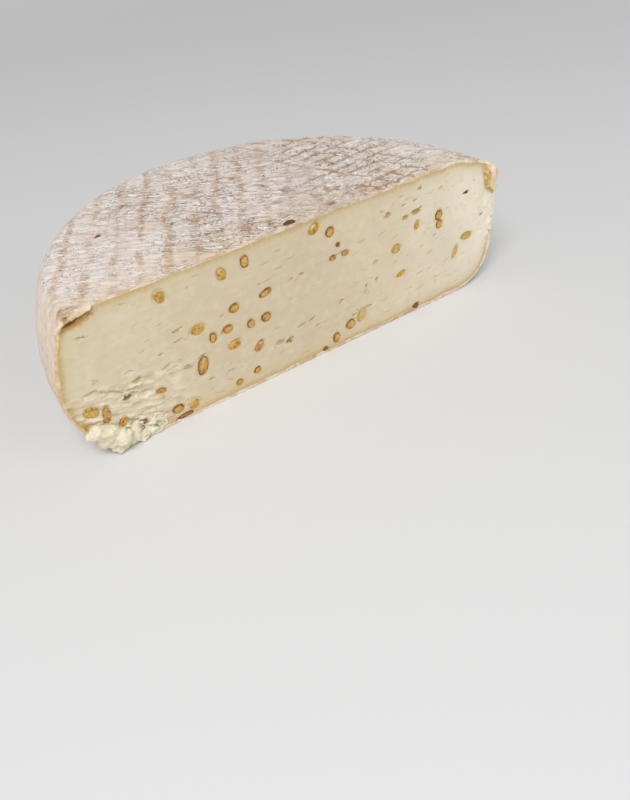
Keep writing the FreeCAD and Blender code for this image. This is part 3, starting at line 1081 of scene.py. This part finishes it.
def build_right_flap():
    """The rind at the right end has come away and curls, its amber underside to the front."""
    piece, u, s = strip("rind_curl", 60, 30)
    z = 57.4 - 15.4 * u
    over = np.clip((z - 50.8) / 12.0, 0, 1)
    x = RADIUS - 25.9 * (1 - (1 - over**1.6) ** 0.625)
    tip = ramp_up(u, 0.72, 1.0)
    y, side = bend(
        s,
        (0.0, 5.0, -0.4), (0.35, 0.8, 0.35), (0.44, -0.7, 0.10),
        (0.56, -1.2, -1.2), (0.70, -1.5, -3.2), (0.86, -1.3, -5.2),
        (1.0, 0.1, -6.4),
    )
    noise = np.stack((z, s * 5, s * 0), axis=1)
    wide = (0.25 + 0.75 * ramp_up(u, 0.0, 0.3)) * (1 - 0.6 * tip)
    side = np.where(s > 0.5, 0.25 + (side - 0.25) * wide, side)
    y = np.where(s > 0.35, 0.8 + (y - 0.8) * (0.25 + 0.75 * wide), y)
    side = side + 0.28 * rough(noise, 2.2, 131, 3)
    y = y + 0.30 * rough(noise, 2.6, 132, 3)
    points = np.stack((x + AXIS_X + side - 0.2, CUT + y, z + 0.3 * grain(noise, 2, 133)), axis=1)
    points[:, 0] = np.minimum(points[:, 0], END_X)
    lip = ramp_up(-np.abs(s - 0.56), -0.24, -0.14) * 0.9
    return finish_strip(piece, points, 0.7, lip, ramp_up(s, 0.74, 0.80))


def finish_strip(piece, points, thick, lip, amber):
    put(piece, points)
    note(piece, edge_lip=lip, edge_amber=amber)
    modify(piece, "SOLIDIFY", thickness=thick * MM, offset=0)
    modify(piece, "SUBSURF", levels=1, render_levels=1)
    marks = piece.data.attributes
    lip, amber = (numbers(marks[name].data, "value") for name in ("edge_lip", "edge_amber"))
    points = places(piece)
    points += facing(piece) * (0.10 * rough(points, 1.3, 141, 2))[:, None]
    points[:, 0] = np.clip(points[:, 0], -END_X, END_X)
    put(piece, held(points))
    note_rind(piece, points, facing(piece), lip, amber)
    return piece


def build_knob():
    """A small curl of rind at the left end of the fold."""
    shape = {"major_segments": 36, "minor_segments": 14}
    knob = block("torus", major_radius=1.2 * MM, minor_radius=0.85 * MM, **shape)
    knob.name = "rind_knob"
    points = places(knob)
    points += facing(knob) * (0.28 * rough(points, 1.2, 151, 2))[:, None]
    x, y, z = points.T
    placed = np.stack((x - 92.6 + AXIS_X, CUT - 0.9 + 0.9 * z - 0.5 * y, 61.9 + y * 0.9 + 0.2 * z), axis=1)
    put(knob, held(placed))
    weld(knob)
    amber = 0.45 + 0.5 * ramp_up(grain(placed, 1.4, 152), -0.1, 0.5)
    note_rind(knob, placed, facing(knob), placed[:, 0] * 0 + 0.5, amber)
    return knob


# ---------------------------------------------------------------- stage


def build_stage():
    floor = block("plane", size=6)
    floor.name = "floor"
    floor.data.materials.append(floor_look())
    world = bpy.data.worlds.new("studio")
    bpy.context.scene.world = world
    world.use_nodes = True
    tree = world.node_tree
    seen = tree.nodes.new("ShaderNodeLightPath")
    pale = tree.nodes.new("ShaderNodeMapRange")
    back = tree.nodes["Background"]
    back.inputs["Color"].default_value = (1, 1, 1, 1)
    pale.inputs["To Min"].default_value = DAYLIGHT
    pale.inputs["To Max"].default_value = BACKDROP
    tree.links.new(seen.outputs["Is Camera Ray"], pale.inputs["Value"])
    tree.links.new(pale.outputs[0], back.inputs["Strength"])
    lamps = (
        ("key", (-0.5, -0.6, 0.98), 0.6, 9.0),
        ("fill", (0.6, -0.9, 0.5), 0.9, 2.2),
    )
    for name, place, size, power in lamps:
        light = bpy.data.lights.new(name, "AREA")
        light.shape = "DISK"
        light.size = size
        light.energy = power
        lamp = link(name, light)
        lamp.location = place
        aim = Vector((0, -0.01, 0.03)) - Vector(place)
        lamp.rotation_euler = aim.to_track_quat("-Z", "Y").to_euler()


def build_camera():
    lens = bpy.data.cameras.new("camera")
    lens.sensor_fit = "HORIZONTAL"
    lens.sensor_width = 36
    lens.lens = 48.47
    camera = link("camera", lens)
    right = Vector((0.8139, -0.5761, -0.0754)).normalized()
    ahead = Vector((0.4143, 0.6665, -0.6197)).normalized()
    up = right.cross(ahead)
    turn = Matrix((right, up, -ahead)).transposed()
    camera.location = (-0.1515, -0.2914, 0.2053)
    camera.rotation_euler = turn.to_euler()
    bpy.context.scene.camera = camera
    bpy.context.scene.view_settings.view_transform = "Standard"


# ---------------------------------------------------------------- assembly


def declare(piece, material):
    piece.data.materials.clear()
    piece.data.materials.append(material)
    alone(piece)
    bpy.ops.object.shade_smooth_by_angle(angle=math.radians(58))
    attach(piece, "root")
    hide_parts("half_wheel")


def main():
    rind, core = build_rind()
    paste = build_paste(core)
    seeds = build_seeds()
    curd = build_curd()
    crumbs = build_crumbs()
    folds = [build_left_flap(), build_right_flap(), build_knob()]
    curd_material = curd_look()
    rind_material = rind_look()
    declare(rind, rind_material)
    for fold in folds:
        declare(fold, rind_material)
    declare(paste, paste_look())
    declare(seeds, seed_look())
    declare(curd, curd_material)
    declare(crumbs, curd_material)
    build_stage()
    build_camera()


main()
